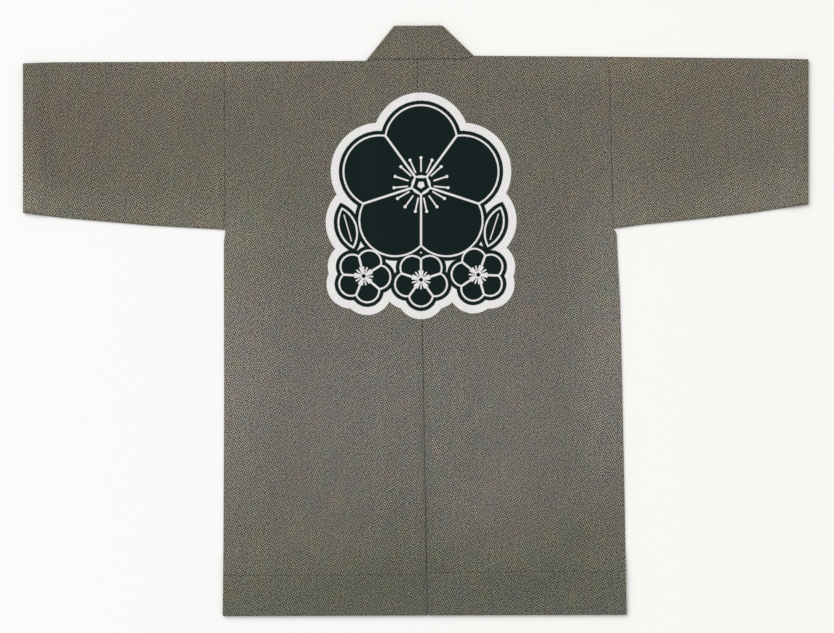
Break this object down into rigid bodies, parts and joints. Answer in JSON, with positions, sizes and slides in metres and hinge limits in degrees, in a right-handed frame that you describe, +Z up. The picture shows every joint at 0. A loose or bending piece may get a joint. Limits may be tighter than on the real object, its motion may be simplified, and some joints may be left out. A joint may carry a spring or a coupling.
{
  "type": "happi coat",
  "caption": "Open-fronted cotton happi coat with straight sleeves and a long folded collar band, laid flat with its back up.",
  "frame": {"origin": "middle of the coat's outline, on the surface it lies on", "axes": "+X across the shoulders from the wearer's left sleeve to the right one, +Y from the hem to the collar, +Z up out of the surface, with the coat's back on top"},
  "size_m": [1.2756, 0.9592, 0.0075],
  "materials": {
    "coat_cloth": "matt thick cotton, marled grey-brown weave",
    "collar_cloth": "matt thick cotton, marled grey-brown weave, doubled"
  },
  "bodies": {
    "root": {"body_left": "coat_cloth", "body_right": "coat_cloth", "sleeve_left": "coat_cloth", "sleeve_right": "coat_cloth", "collar": "collar_cloth"}
  },
  "joints": []
}
